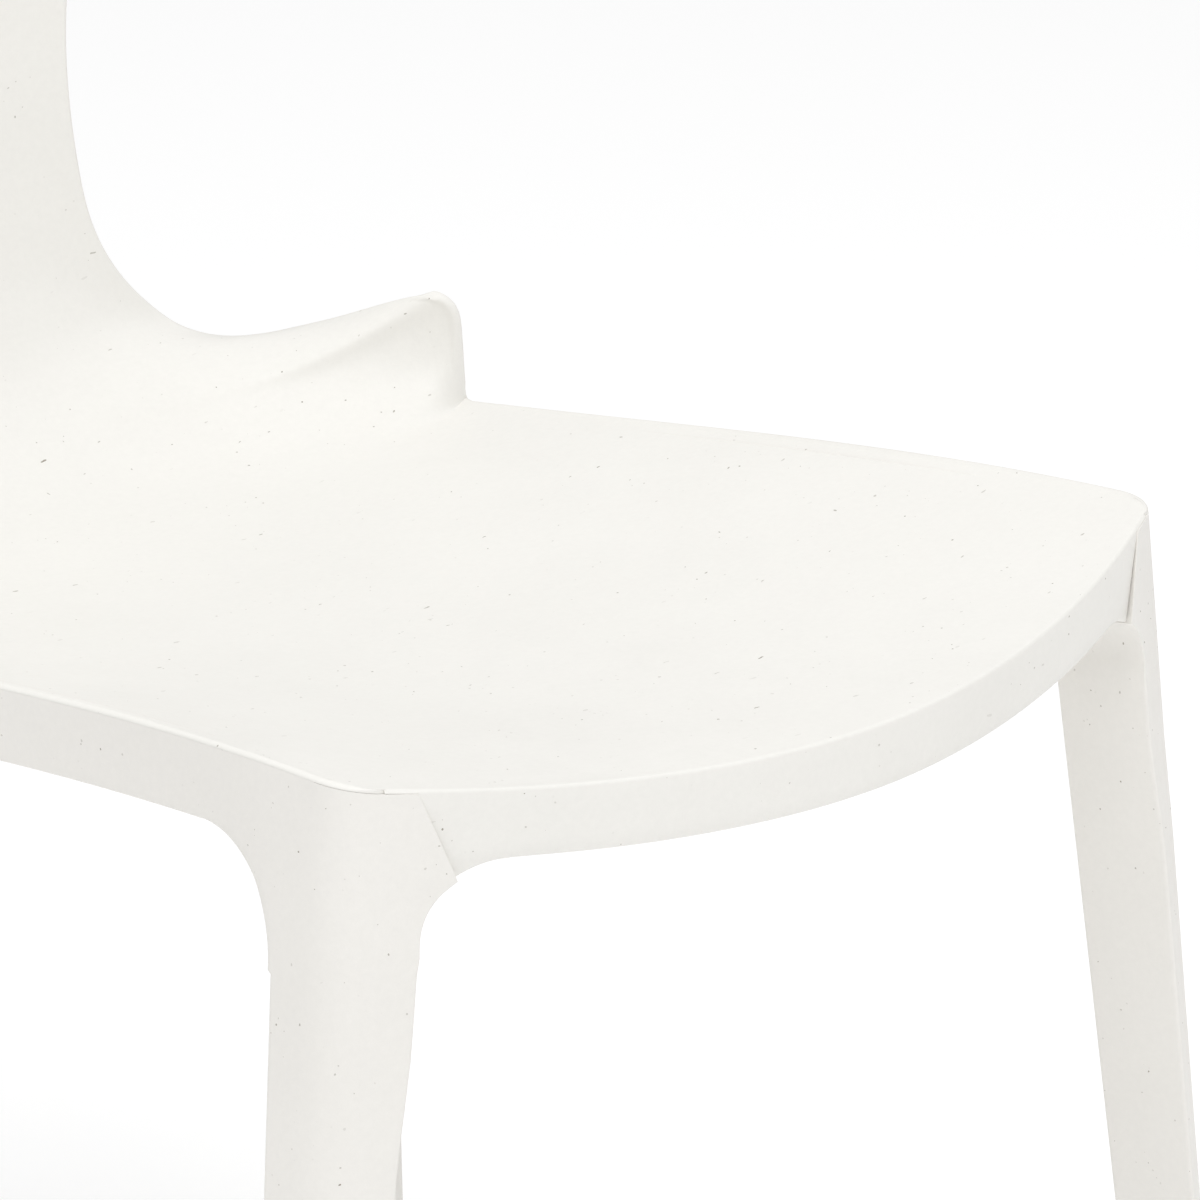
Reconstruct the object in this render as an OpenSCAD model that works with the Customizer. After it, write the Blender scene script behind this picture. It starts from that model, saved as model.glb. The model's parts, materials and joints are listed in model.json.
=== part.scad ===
// Stacking chair: a moulded seat and back, two side leg frames that slide in
// from the sides, two locking wedges under the seat and four floor glides.
// Millimetres, +Z up, the chair faces -Y, origin on the floor at the middle.

/* [Overall] */
// Height of the seat's front corners above the floor
seat_h = 446; // [430:2:460]
// Overall height to the top of the back
overall_h = 810; // [790:5:830]

/* [Seat and back] */
// Thickness of the moulded skin
skin = 4.5; // [4:0.5:5]
// Height of the front apron at the middle
apron_h = 20.5; // [19:0.5:22]
// Extra width at the widest part of the back, each side
back_flare = 84; // [70:1:95]

/* [Leg frames] */
// Outward splay of the front legs, mm per 100 mm of height
front_splay = 11.7; // [11:0.1:12.4]
// Outward splay of the rear legs, mm per 100 mm of height
rear_splay = 12.5; // [11.5:0.5:13.5]
// Backward rake of the rear legs, mm per 100 mm of height
rear_rake = 9; // [8:0.5:10]

/* [Joints and glides] */
// Clearance between the leg frames and the shell
gap = 0.3; // [0.2:0.05:0.4]
// Thickness of each tie arm, front to back
arm_t = 14; // [12:1:15]
// Diameter of a glide's stem
stem_d = 8; // [7:0.5:9]
// Thickness of the glide pads under the legs
pad_t = 5; // [4:0.5:6]

/* [Hidden] */
$fn = 48;
half_w = 185;
wing_y = 294;
lip = 1.8;
waist_z = 106;
rise = overall_h - seat_h;
y_mid = 213.4;
corner_r = 13;
foot_h = seat_h - pad_t;
rail_h = 24.5;
arm_drop = 17;

// side edge of the seat: half width and height, at distance y behind the corners
function edge_x(y) = half_w - 14.8 * y / 277 - 4.8 * (y / 277) * (1 - y / 277);
function edge_z(y) =
    3.1 * (y / 277) - 41.6 * pow(y / 277, 2) + 17.3 * pow(y / 277, 3);

// smooth curve through evenly numbered keys
function cr(a, b, c, d, u) =
    0.5 * (2 * b + (c - a) * u + (2 * a - 5 * b + 4 * c - d) * u * u
    + (3 * b - a - 3 * c + d) * u * u * u);
function key(k, i) = k[max(0, min(len(k) - 1, i))];
function spline(k, s) =
    let (i = floor(s), u = s - i)
    [for (c = [0:len(k[0]) - 1])
        cr(key(k, i - 1)[c], key(k, i)[c], key(k, i + 1)[c], key(k, i + 2)[c], u)];

// A row across the shell is edge x, y, z, middle y, z, plan power, plan root,
// dish depth and wall power. The front corner is rounded by a quadratic curve.
corner = [[173.5, -5.1, -2.05], [half_w, 0, 0], [edge_x(corner_r), corner_r, edge_z(corner_r)]];
function round_pt(u) =
    (1 - u) * (1 - u) * corner[0] + 2 * u * (1 - u) * corner[1] + u * u * corner[2];
function seat_row(y) =
    let (t = y / wing_y,
         e = y < corner_r ? round_pt(y / corner_r) : [edge_x(y), y, edge_z(y)],
         zc = -17 - 22 * t + 3 * t * t)
    [e[0], e[1], e[2], -45 + 310 * t, zc, 1.884, 1, e[2] - zc, 30];

// keys from the foot of the wings, round the bowl, up the waist and the back
keys_up = [
    [171.0, 294.0, -22.5, 265, -36.0, 1.9, 1.0, 13.5, 30],
    [167.6, 294.2, -12.0, 290, -36.5, 2.0, 1.3, 13.5, 13],
    [167.2, 294.4, -2.0, 313, -35.0, 2.2, 1.5, 13.0, 9],
    [166.8, 295.0, 6.5, 333, -31.0, 2.3, 1.5, 12.0, 6.6],
    [165.0, 297.5, 12.5, 350, -24.5, 2.35, 1.3, 11.0, 5.8],
    [161.5, 305.0, 15.0, 359.5, -19.4, 2.3, 1.08, 8.0, 5.3],
    [158.5, 320.0, 10.5, 365.8, -15.2, 2.2, 1.0, 5.0, 5.0],
    [153.5, 338.0, 3.0, 371.4, -11.0, 2.15, 1.0, 3.0, 4.8],
    [145.0, 355.0, -3.5, 377.0, -6.3, 2.1, 1, 1.5, 4.6],
    [134.5, 370.0, -7.5, 382.4, -0.9, 2.05, 1, 0.0, 4.5],
    [120.5, 382.0, -3.5, 387.6, 5.9, 2, 1, -2.0, 4],
    [107.5, 389.0, 7.5, 393.8, 15.0, 2, 1, -4.5, 4],
    [97.5, 394.0, 20.5, 401.8, 27.5, 2, 1, -8.0, 4],
    [92.0, 400.0, 37.0, 410.0, 46.5, 2, 1, -11.0, 4],
    [91.5, 406.0, 57.0, 419.0, 72.0, 2, 1, -16.0, 4],
    [93.5, 412.0, 80.0, 427.0, 100.7, 2, 1, -21.0, 4],
    [98.5, 418.0, 106.0, 434, 131.0, 2.0, 1.0, -25.0, 4],
    [108.0, 423.5, 134.0, 439, 156.0, 2.0, 1.0, -22.0, 4],
    [122.0, 428.5, 162.0, 444, 182.0, 2.0, 1.0, -20.0, 4],
    [139.0, 433.0, 190.0, 449, 208.0, 2.0, 1.0, -18.0, 4],
    [156.0, 437.0, 218.0, 453, 235.0, 2.0, 1.0, -17.0, 4],
    [170.0, 441.0, 246.0, 457, 262.0, 2.0, 1.0, -16.0, 4],
    [179.0, 444.0, 273.0, 460, 289.0, 2.0, 1.0, -16.0, 4],
    [182.0, 446.5, 298.0, 463, 314.0, 2.0, 1.0, -16.0, 4],
    [176.0, 449.5, 320.0, 465, 336.0, 2.0, 1.0, -16.0, 4],
    [160.0, 453.0, 336.0, 467, 353.0, 2.0, 1.0, -17.0, 4],
    [136.0, 457.0, 345.5, 468, 364.0, 2.0, 1.0, -18.5, 4]
];
n_key = len(keys_up) - 1;
// the back's height and flare follow the parameters above the waist
function grow(z) = z <= waist_z ? z : waist_z + (z - waist_z) * (rise - waist_z) / (364 - waist_z);
function widen(w, z) = z <= waist_z ? w : 98.5 + (w - 98.5) * back_flare / 83.5;
function back_key(r) = [widen(r[0], r[2]), r[1], grow(r[2]), r[3], grow(r[4]),
    r[5], r[6], r[4] > waist_z && r[2] > waist_z ? grow(r[2]) - grow(r[4]) : r[7], r[8]];
keys = [for (r = keys_up) back_key(r)];

seat_ys = [0, 3, 7, 13, 32, 56, 82, 110, 140, 172, 204, 236, 266];
n_up = 36;
rows = concat(
    [for (y = seat_ys) seat_row(y)],
    [for (i = [0:n_up]) spline(keys, i * n_key / n_up)]
);
n_row = len(rows) - 1;
n_half = 13;
cols = [for (j = [-n_half:n_half]) sin(90 * j / n_half)];
n_col = len(cols) - 1;

// a point on the upper face of the shell, q from -1 at the left to 1 at the right
function face(r, q) =
    let (a = abs(q), wall = r[2] - r[4] - r[7])
    [r[0] * q,
     r[1] + (r[3] - r[1]) * pow(max(0, 1 - pow(a, r[5])), 1 / r[6]),
     r[4] + r[7] * a * a + wall * pow(a, r[8])];

function unit(v) = v / max(1e-9, norm(v));
top = [for (r = rows) [for (q = cols) face(r, q)]];
function nrm(i, j) =
    let (du = top[min(n_row, i + 1)][j] - top[max(0, i - 1)][j],
         dv = top[i][min(n_col, j + 1)] - top[i][max(0, j - 1)])
    unit(cross(dv, du));

// the skin is thinned to a lip where it lies on the leg frames
function lip_at(i, j) =
    i < len(seat_ys) && abs(j - n_half) >= (rows[i][1] < 60 ? 9 : 10);
function thick(i, j) = lip_at(i, j) ? lip : i <= len(seat_ys) ? skin : skin - 0.7;
function under(i, j) =
    i <= len(seat_ys) ? top[i][j] - [0, 0, thick(i, j)] : top[i][j] - thick(i, j) * nrm(i, j);

// front apron, from its lower edge up to the seat's front edge
function apron_at(j) =
    let (a = abs(j - n_half))
    a >= 9 ? lip + 0.2 : apron_h + (a == 8 ? 5 : a == 7 ? 1.2 : 0);
function front_pt(j, back, down) = top[0][j] + [0, back, -down];

outer = concat(
    [[for (j = [0:n_col]) front_pt(j, 0, apron_at(j))]],
    [[for (j = [0:n_col]) front_pt(j, 0, 0.8)]],
    [[for (j = [0:n_col]) front_pt(j, 0.8, 0)]],
    [for (i = [1:n_row]) [for (j = [0:n_col]) top[i][j]]]
);
inner = concat(
    [[for (j = [0:n_col]) front_pt(j, 3.6, apron_at(j))]],
    [[for (j = [0:n_col]) front_pt(j, 4, thick(0, j) + 0.1)]],
    [[for (j = [0:n_col]) front_pt(j, 4.4, thick(0, j))]],
    [for (i = [1:n_row]) [for (j = [0:n_col])
        under(i, j) + (i == 1 ? [0, 2.4, 0] : i == 2 ? [0, 0.8, 0] : [0, 0, 0])]]
);

// closed solid between two grids of the same size
module sheet_solid(a, b) {
    rn = len(a) - 1;
    cn = len(a[0]) - 1;
    n = cn + 1;
    m = (rn + 1) * n;
    pts = concat([for (r = a) for (p = r) p], [for (r = b) for (p = r) p]);
    fs = concat(
        [for (i = [0:rn - 1]) for (j = [0:cn - 1]) each [
            [i * n + j, (i + 1) * n + j, (i + 1) * n + j + 1],
            [i * n + j, (i + 1) * n + j + 1, i * n + j + 1],
            [m + i * n + j, m + (i + 1) * n + j + 1, m + (i + 1) * n + j],
            [m + i * n + j, m + i * n + j + 1, m + (i + 1) * n + j + 1]]],
        [for (i = [0:rn - 1]) each [
            [i * n, m + i * n, m + (i + 1) * n],
            [i * n, m + (i + 1) * n, (i + 1) * n],
            [i * n + cn, m + (i + 1) * n + cn, m + i * n + cn],
            [i * n + cn, (i + 1) * n + cn, m + (i + 1) * n + cn]]],
        [for (j = [0:cn - 1]) each [
            [j, j + 1, m + j + 1],
            [j, m + j + 1, m + j],
            [rn * n + j, m + rn * n + j + 1, rn * n + j + 1],
            [rn * n + j, m + rn * n + j, m + rn * n + j + 1]]]);
    polyhedron(pts, fs, convexity = 8);
}

// height of the seat's upper face at a point, in front of the bowl
function seat_z(x, y) =
    let (c0 = 1 - pow(min(1, abs(x) / 178), 1.884),
         t = (y + 45 * c0) / (wing_y + 16 * c0),
         q = abs(x) / edge_x(max(0, t) * wing_y),
         zc = -17 - 22 * t + 3 * t * t)
    zc + (edge_z(t * wing_y) - zc) * q * q;

// tie arms: the left and the right frame's arms lie side by side under the seat
front_arm_y = 26;
rear_arm_y = 304;
arm_gap = 6;
front_arm_z = -25 - skin;
rear_arm_z = -38 - skin;
arm_reach = 34;

// a rib across the shell's underside, its top edge sunk into the skin
module cross_rib(y, w, x1, z_low) {
    n = 12;
    translate([0, y + w, 0]) rotate([90, 0, 0]) linear_extrude(w)
        polygon(concat(
            [for (i = [0:n]) let (x = -x1 + 2 * x1 * i / n)
                [x, min(seat_z(x, y), seat_z(x, y + w)) - 2.4]],
            [[x1, z_low], [-x1, z_low]]));
}
module long_rib(x, w, y0, y1, depth) {
    n = 10;
    translate([x - w / 2, 0, 0]) rotate([90, 0, 90]) linear_extrude(w)
        polygon(concat(
            [for (i = [0:n]) let (y = y0 + (y1 - y0) * i / n)
                [y, min(seat_z(x - w / 2, y), seat_z(x + w / 2, y)) - 2.4]],
            [for (i = [n:-1:0]) let (y = y0 + (y1 - y0) * i / n)
                [y, seat_z(x, y) - skin - depth]]));
}

module place() {
    translate([0, -y_mid, seat_h]) children();
}

module seat_shell() {
    arms_w = 2 * arm_t + arm_gap;
    color([0.93, 0.92, 0.89]) place() union() {
        sheet_solid(outer, inner);
        cross_rib(front_arm_y - gap - 3.2, 3.2, 120, front_arm_z - arm_drop + 3);
        cross_rib(front_arm_y + arms_w + gap, 3.2, 120, front_arm_z - arm_drop + 3);
        cross_rib(rear_arm_y - gap - 3.2, 3.2, 96, rear_arm_z - arm_drop + 5);
        for (s = [-1, 1])
            long_rib(s * 62, 3, front_arm_y + arms_w + 2, rear_arm_y - 2, 9);
    }
}

// leg frame: four guide lines give the corners of each section of a closed loft
function ease(t) = let (u = max(0, min(1, t))) u * u * (3 - 2 * u);
function fleg(h) =
    let (d = h - 50, s = front_splay / 100, inner = 166.4 + 3 * ease((h - 75) / 45))
    [[190.8 + s * d, -1.4 - 0.0285 * d, -h],
     [inner + (s + 0.017) * d, -11.8 - 0.0285 * d, -h],
     [166.2 + (s + 0.017) * d, 26.7 - 0.055 * d, -h],
     [190.8 + s * d, 24.7 - 0.055 * d, -h], 11];
function rail(y) =
    let (x = edge_x(y), z = edge_z(y), zt = z - lip - gap, lean = y < 90 ? 1.8 : 1)
    [[x, y, zt], [x - 10, y, zt - 1.5], [x - 10, y, z - rail_h], [x + lean, y, z - rail_h], 0.6];
rear_x = 158;
rear_y = 352;
function rleg(h) =
    let (cx = rear_x + rear_splay * h / 100, cy = rear_y + rear_rake * h / 100,
         w = 12 - 0.003 * h, d = 17 - 0.015 * h)
    [[cx + w, cy + d, -h], [cx - w, cy + d - 2, -h],
     [cx - w, cy - d + 2, -h], [cx + w, cy - d, -h], 9];
function inward(x, y) = seat_z(x, y) - lip - gap;

sections = concat(
    [for (h = [foot_h, 330, 220, 130, 100, 80, 62]) fleg(h)],
    [
        [[189.9, -1.2, -42], [164.6, -10.9, -43], [167, 31.5, -49], [189.5, 30.5, -49], 11],
        [[188, -0.8, -26], [154.6, -13, -33], [168, 36.5, -38.5], [188, 36, -38.5], 10],
        [[186.5, -0.3, -13], [158.8, -11.2, -20], [169.5, 42, -32.5], [187, 42, -32.5], 9],
        [[185, 0.4, -lip - gap - 0.3], [164.8, -8.4, -lip - gap - 4.6],
            [170.3, 48, -28.5], [185.6, 48, -28.5], 8],
        [[184.6, 20, inward(184.6, 20)], [165.5, 10, inward(165.5, 10)],
            [171.5, 55, -26.2], [184.4, 55, -26.2], 1]
    ],
    [for (y = [66, 110, 160, 210, 250]) rail(y)],
    [
        [[171.4, 284, edge_z(284) - lip - gap], [160.5, 284, edge_z(284) - lip - gap - 2],
            [161.5, 290, edge_z(290) - rail_h], [171.2, 290, edge_z(290) - rail_h], 0.6],
        [[170.6, 318, -25.5], [153, 318, -27], [151, 311, -51], [171.5, 311, -51], 2],
        [[169, 345, -26], [146, 345, -27.5], [149, 325, -56.5], [172.5, 325, -56.5], 5],
        [[167, 366, -27], [143, 366, -28.5], [150, 334, -65], [174.5, 334, -65], 9],
        [[169.5, 373.5, -44], [144.5, 371.5, -44], [151.5, 340, -76], [176, 339, -76], 9]
    ],
    [for (h = [92, 140, 220, 330, foot_h]) rleg(h)]
);

// rounded corner of a section: a short quadratic curve that starts d before it
function bend(p, a, b, d, n) =
    let (p0 = p + unit(a - p) * min(d, norm(a - p) * 0.46),
         p2 = p + unit(b - p) * min(d, norm(b - p) * 0.46))
    [for (i = [0:n]) let (u = i / n) (1 - u) * (1 - u) * p0 + 2 * u * (1 - u) * p + u * u * p2];
function ring(s) = concat(
    bend(s[0], s[3], s[1], s[4], 4),
    bend(s[1], s[0], s[2], max(0.6, min(4, s[4])), 2),
    bend(s[2], s[1], s[3], max(1.5, min(6, s[4])), 2),
    bend(s[3], s[2], s[0], max(1.5, min(6, s[4])), 2));
rings = [for (s = sections) ring(s)];

module loft(rs) {
    n = len(rs[0]);
    k = len(rs);
    polyhedron(
        [for (r = rs) for (p = r) p],
        concat(
            [for (i = [0:k - 2]) for (j = [0:n - 1]) let (j2 = (j + 1) % n) each [
                [i * n + j, i * n + j2, (i + 1) * n + j2],
                [i * n + j, (i + 1) * n + j2, (i + 1) * n + j]]],
            [[for (j = [n - 1:-1:0]) j]],
            [[for (j = [0:n - 1]) (k - 1) * n + j]]),
        convexity = 8);
}

function foot_mid(s) = (s[0] + s[1] + s[2] + s[3]) / 4;
front_foot = foot_mid(sections[0]);
rear_foot = foot_mid(sections[len(sections) - 1]);

// tie arms: the front one follows the seat's underside out to the rail
module front_arm(y) {
    n = 10;
    translate([0, y + arm_t, 0]) rotate([90, 0, 0]) linear_extrude(arm_t)
        polygon(concat(
            [[-arm_reach, front_arm_z], [40, front_arm_z]],
            [for (i = [0:n]) let (x = 60 + 112 * i / n)
                [x, min(seat_z(x, y), seat_z(x, y + arm_t)) - skin - 1.2]],
            [[172, -24], [120, front_arm_z - arm_drop], [-arm_reach, front_arm_z - arm_drop]]));
}
module rear_arm(y) {
    translate([0, y + arm_t, 0]) rotate([90, 0, 0]) linear_extrude(arm_t)
        polygon([[-arm_reach, rear_arm_z], [100, rear_arm_z], [155, -38], [155, -48],
            [120, rear_arm_z - arm_drop], [-arm_reach, rear_arm_z - arm_drop]]);
}

// one leg frame, drawn on the right; first is true when its arms stand in front
module frame(first) {
    step = first ? 0 : arm_t + arm_gap;
    difference() {
        union() {
            loft(rings);
            front_arm(front_arm_y + step);
            rear_arm(rear_arm_y + step);
        }
        for (f = [front_foot, rear_foot])
            translate([f[0], f[1], -foot_h - 1]) cylinder(d = stem_d, h = 16.5);
    }
}
module right_leg_frame() {
    color([0.90, 0.89, 0.86]) place() frame(true);
}
module left_leg_frame() {
    color([0.88, 0.87, 0.84]) place() mirror([1, 0, 0]) frame(false);
}

// wedge between the two arms of a joint
module wedge(y, z) {
    color([0.8, 0.8, 0.77]) place() union() {
        translate([0, y + arm_t + arm_gap - 0.05, 0]) rotate([90, 0, 0])
            linear_extrude(arm_gap - 0.1)
            polygon([[-26, z - 1], [26, z - 1], [22, z + arm_drop - 1], [-22, z + arm_drop - 1]]);
        translate([-30, y + arm_t - 6, z - 3.1]) cube([60, arm_gap + 12, 3]);
    }
}
module front_wedge() wedge(front_arm_y, front_arm_z - arm_drop);
module rear_wedge() wedge(rear_arm_y, rear_arm_z - arm_drop);

// floor glide: a round pad with a stem that presses into the leg's end
module glide(f) {
    color([0.72, 0.72, 0.70]) place() translate([f[0], f[1], -seat_h]) union() {
        rotate_extrude() polygon([[0, 0], [6.8, 0], [7.6, 0.8], [7.6, pad_t], [0, pad_t]]);
        translate([0, 0, pad_t - 0.5]) cylinder(d = stem_d - 0.1, h = 15);
    }
}
module front_left_glide() glide([-front_foot[0], front_foot[1]]);
module front_right_glide() glide(front_foot);
module rear_left_glide() glide([-rear_foot[0], rear_foot[1]]);
module rear_right_glide() glide(rear_foot);

seat_shell();
left_leg_frame();
right_leg_frame();
front_wedge();
rear_wedge();
front_left_glide();
front_right_glide();
rear_left_glide();
rear_right_glide();
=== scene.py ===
import json
import math

import bpy
import bmesh
import numpy as np
from mathutils import Matrix, Vector

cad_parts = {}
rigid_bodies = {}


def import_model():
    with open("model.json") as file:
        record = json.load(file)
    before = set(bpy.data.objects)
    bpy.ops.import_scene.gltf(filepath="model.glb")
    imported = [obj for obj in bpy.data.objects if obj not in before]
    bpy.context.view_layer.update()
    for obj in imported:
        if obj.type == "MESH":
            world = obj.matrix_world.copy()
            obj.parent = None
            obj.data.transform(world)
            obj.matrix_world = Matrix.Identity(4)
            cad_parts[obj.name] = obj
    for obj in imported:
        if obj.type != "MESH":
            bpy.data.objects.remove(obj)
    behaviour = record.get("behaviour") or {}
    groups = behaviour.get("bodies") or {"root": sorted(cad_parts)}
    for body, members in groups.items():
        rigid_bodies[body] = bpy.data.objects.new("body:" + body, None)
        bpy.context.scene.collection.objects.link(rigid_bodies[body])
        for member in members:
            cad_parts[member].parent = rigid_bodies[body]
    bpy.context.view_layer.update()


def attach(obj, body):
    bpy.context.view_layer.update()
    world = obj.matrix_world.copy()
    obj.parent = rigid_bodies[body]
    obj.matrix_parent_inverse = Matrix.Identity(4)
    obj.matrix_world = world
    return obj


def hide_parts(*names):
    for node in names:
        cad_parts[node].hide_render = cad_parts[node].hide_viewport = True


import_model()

# ---------------------------------------------------------------- layout
# Sizes are millimetres behind (+y) and above (+z) the seat's front corners,
# and OFF moves them into the row frame, in metres at the end.
MM = 0.001
PAD_T = 5.0
SEAT_H = 446.0
Y_MID = 213.4
LIP = 1.2
SKIN = 4.5
APRON_H = 20.5
HALF_W = 185.0
WING_Y = 294.0
CORNER_R = 13.0
RAIL_H = 24.5
FOOT_H = SEAT_H - PAD_T


def edge_x(y):
    t = np.asarray(y, float) / 277
    return HALF_W - 14.8 * t - 4.8 * t * (1 - t)


def edge_z(y):
    t = np.asarray(y, float) / 277
    return 3.1 * t - 41.6 * t ** 2 + 17.3 * t ** 3


def to_row(p):
    p = np.array(p, float)
    p[..., 1] -= Y_MID
    p[..., 2] += SEAT_H
    return p * MM


def smooth(t):
    t = np.clip(t, 0, 1)
    return t * t * (3 - 2 * t)


def unit(v):
    v = np.asarray(v, float)
    n = np.linalg.norm(v, axis=-1, keepdims=True)
    return v / np.maximum(n, 1e-12)


def spline(keys, s):
    """C2 curve through evenly numbered keys."""
    k = np.asarray(keys, float)
    n = len(k)
    a = np.zeros((n, n))
    rhs = np.zeros_like(k)
    a[0, 0] = a[-1, -1] = 1
    for i in range(1, n - 1):
        a[i, i - 1:i + 2] = 1, 4, 1
        rhs[i] = 6 * (k[i - 1] - 2 * k[i] + k[i + 1])
    m = np.linalg.solve(a, rhs)
    s = np.asarray(s, float)
    i = np.clip(np.floor(s).astype(int), 0, n - 2)
    u = (s - i)[:, None]
    return ((1 - u) * k[i] + u * k[i + 1]
            - u * (1 - u) / 6 * ((2 - u) * m[i] + (1 + u) * m[i + 1]))


# rows of the shell: edge x, y, z, middle y, z, plan power, plan root, dish, wall power
KEYS = [
    [171.0, 294.0, -22.5, 265, -36.0, 1.9, 1.0, 13.5, 30],
    [167.6, 294.2, -12.0, 290, -36.5, 2.0, 1.3, 13.5, 13],
    [167.2, 294.4, -2.0, 313, -35.0, 2.2, 1.5, 13.0, 9],
    [166.8, 295.0, 6.5, 333, -31.0, 2.3, 1.5, 12.0, 6.6],
    [165.0, 297.5, 12.5, 350, -24.5, 2.35, 1.3, 11.0, 5.8],
    [161.5, 305.0, 15.0, 359.5, -19.4, 2.3, 1.08, 8.0, 5.3],
    [158.5, 320.0, 10.5, 365.8, -15.2, 2.2, 1.0, 5.0, 5.0],
    [153.5, 338.0, 3.0, 371.4, -11.0, 2.15, 1.0, 3.0, 4.8],
    [145.0, 355.0, -3.5, 377.0, -6.3, 2.1, 1, 1.5, 4.6],
    [134.5, 370.0, -7.5, 382.4, -0.9, 2.05, 1, 0.0, 4.5],
    [120.5, 382.0, -3.5, 387.6, 5.9, 2, 1, -2.0, 4],
    [107.5, 389.0, 7.5, 393.8, 15.0, 2, 1, -4.5, 4],
    [97.5, 394.0, 20.5, 401.8, 27.5, 2, 1, -8.0, 4],
    [92.0, 400.0, 37.0, 410.0, 46.5, 2, 1, -11.0, 4],
    [91.5, 406.0, 57.0, 419.0, 72.0, 2, 1, -16.0, 4],
    [93.5, 412.0, 80.0, 427.0, 100.7, 2, 1, -21.0, 4],
    [98.5, 418.0, 106.0, 434, 131.0, 2.0, 1.0, -25.0, 4],
    [108.0, 423.5, 134.0, 439, 156.0, 2.0, 1.0, -22.0, 4],
    [122.0, 428.5, 162.0, 444, 182.0, 2.0, 1.0, -20.0, 4],
    [139.0, 433.0, 190.0, 449, 208.0, 2.0, 1.0, -18.0, 4],
    [156.0, 437.0, 218.0, 453, 235.0, 2.0, 1.0, -17.0, 4],
    [170.0, 441.0, 246.0, 457, 262.0, 2.0, 1.0, -16.0, 4],
    [179.0, 444.0, 273.0, 460, 289.0, 2.0, 1.0, -16.0, 4],
    [182.0, 446.5, 298.0, 463, 314.0, 2.0, 1.0, -16.0, 4],
    [176.0, 449.5, 320.0, 465, 336.0, 2.0, 1.0, -16.0, 4],
    [160.0, 453.0, 336.0, 467, 353.0, 2.0, 1.0, -17.0, 4],
    [136.0, 457.0, 345.5, 468, 364.0, 2.0, 1.0, -18.5, 4],
]


def seat_row(y):
    t = y / WING_Y
    if y < CORNER_R:
        u = y / CORNER_R
        c = np.array([[173.5, -5.1, -2.05], [HALF_W, 0, 0],
                      [edge_x(CORNER_R), CORNER_R, edge_z(CORNER_R)]])
        e = (1 - u) ** 2 * c[0] + 2 * u * (1 - u) * c[1] + u * u * c[2]
    else:
        e = np.array([edge_x(y), y, edge_z(y)])
    zc = -17 - 22 * t + 3 * t * t
    return [e[0], e[1], e[2], -45 + 310 * t, zc, 1.884, 1, e[2] - zc, 30]


def row_curve(r, q):
    """Points of a row's right half, q from 0 at the middle to 1 at the edge."""
    wall = r[2] - r[4] - r[7]
    y = r[1] + (r[3] - r[1]) * np.maximum(0, 1 - q ** r[5]) ** (1 / r[6])
    return np.stack([r[0] * q, y, r[4] + r[7] * q ** 2 + wall * q ** r[8]], -1)


def seat_z(x, y):
    x = abs(x)
    c0 = 1 - min(1, x / 178) ** 1.884
    t = (y + 45 * c0) / (WING_Y + 16 * c0)
    q = x / edge_x(max(0, t) * WING_Y)
    zc = -17 - 22 * t + 3 * t * t
    return float(zc + (edge_z(t * WING_Y) - zc) * q * q)


# ---------------------------------------------------------------- mesh helpers
def make_mesh(name, verts, faces, smooth_angle=35):
    me = bpy.data.meshes.new(name)
    me.from_pydata([tuple(v) for v in verts], [], faces)
    me.validate()
    bm = bmesh.new()
    bm.from_mesh(me)
    bmesh.ops.remove_doubles(bm, verts=bm.verts, dist=2e-6)
    bmesh.ops.dissolve_degenerate(bm, dist=1e-7, edges=bm.edges)
    bmesh.ops.recalc_face_normals(bm, faces=bm.faces)
    bm.to_mesh(me)
    bm.free()
    for p in me.polygons:
        p.use_smooth = True
    me.set_sharp_from_angle(angle=math.radians(smooth_angle))
    ob = bpy.data.objects.new(name, me)
    bpy.context.scene.collection.objects.link(ob)
    return ob


def ring_tube(rings, cap0=True, cap1=True):
    """Verts and quads of a stack of closed rings, with optional end caps."""
    n = len(rings[0])
    verts = np.concatenate([to_row(r) for r in rings])
    faces = []
    for i in range(len(rings) - 1):
        for j in range(n):
            a, b = i * n + j, i * n + (j + 1) % n
            faces.append((a, b, b + n, a + n))
    if cap0:
        faces.append(tuple(range(n - 1, -1, -1)))
    if cap1:
        m = (len(rings) - 1) * n
        faces.append(tuple(range(m, m + n)))
    return verts, faces


def join_into(name, parts, smooth_angle=35):
    verts, faces, base = [], [], 0
    for v, f in parts:
        verts.append(v)
        faces += [tuple(i + base for i in g) for g in f]
        base += len(v)
    return make_mesh(name, np.concatenate(verts), faces, smooth_angle)


# ---------------------------------------------------------------- seat and back
SEAM_TOP, SEAM_LOW = 164.3, 154.5
NQ = 46


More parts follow.
